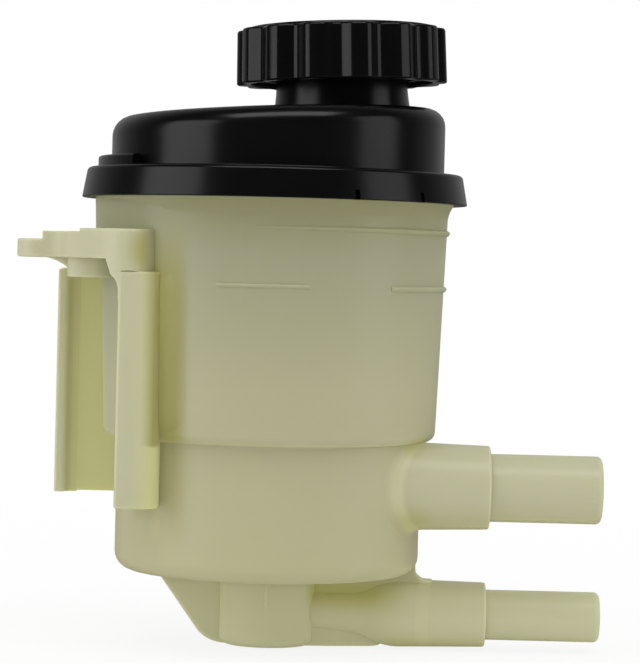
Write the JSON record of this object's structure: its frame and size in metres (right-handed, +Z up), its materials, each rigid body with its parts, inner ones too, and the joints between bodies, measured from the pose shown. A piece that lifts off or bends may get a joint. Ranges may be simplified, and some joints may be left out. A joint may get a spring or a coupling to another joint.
{
  "type": "power steering reservoir",
  "caption": "Round translucent fluid reservoir with stepped cup, side and bottom hose spigots, slide-on bracket, black domed lid, offset threaded neck and lobed screw cap.",
  "frame": {"origin": "centre of the sump's flat underside, on the cup's axis", "axes": "+Z up along the cup's axis, +X the way both hose spigots point, bracket on the -X side"},
  "size_m": [0.1405, 0.0922, 0.1488],
  "materials": {
    "natural_plastic": "satin natural, slightly see-through",
    "black_plastic": "gloss black",
    "cap_plastic": "gloss black",
    "rubber": "black rubber",
    "seal_rubber": "black rubber",
    "baffle_plastic": "natural",
    "cage_plastic": "off-white",
    "nylon_mesh": "fine woven mesh",
    "spring_steel": "drawn wire"
  },
  "bodies": {
    "reservoir": {"reservoir_body": "natural_plastic", "reservoir_lid": "black_plastic", "baffle_plate": "baffle_plastic", "filter_spring": "spring_steel"},
    "gasket": {"cap_gasket": "rubber"},
    "cap": {"filler_cap": "cap_plastic"},
    "filter": {"filter_cage": "cage_plastic", "filter_mesh": "nylon_mesh", "filter_seal": "seal_rubber"}
  },
  "joints": [
    {"name": "cap_rise", "type": "slide", "parent": "reservoir", "child": "gasket", "axis": [-0.0349, 0, 0.9994], "range_m": [0, 0.0112]},
    {"name": "cap_turn", "type": "hinge", "parent": "gasket", "child": "cap", "pos_m": [0.0156, 0, 0.12798], "axis": [-0.0349, 0, 0.9994], "range_deg": [0, 990]},
    {"name": "filter_lift", "type": "slide", "parent": "reservoir", "child": "filter", "axis": [0, 0, 1], "range_m": [0, 0.003], "stiffness_N_per_m": 500, "springref_m": -0.006, "deforming": ["filter_spring"]}
  ],
  "couplings": [
    {"joint": "cap_rise", "follows": "cap_turn", "m_per_rad": 0.00063662}
  ]
}
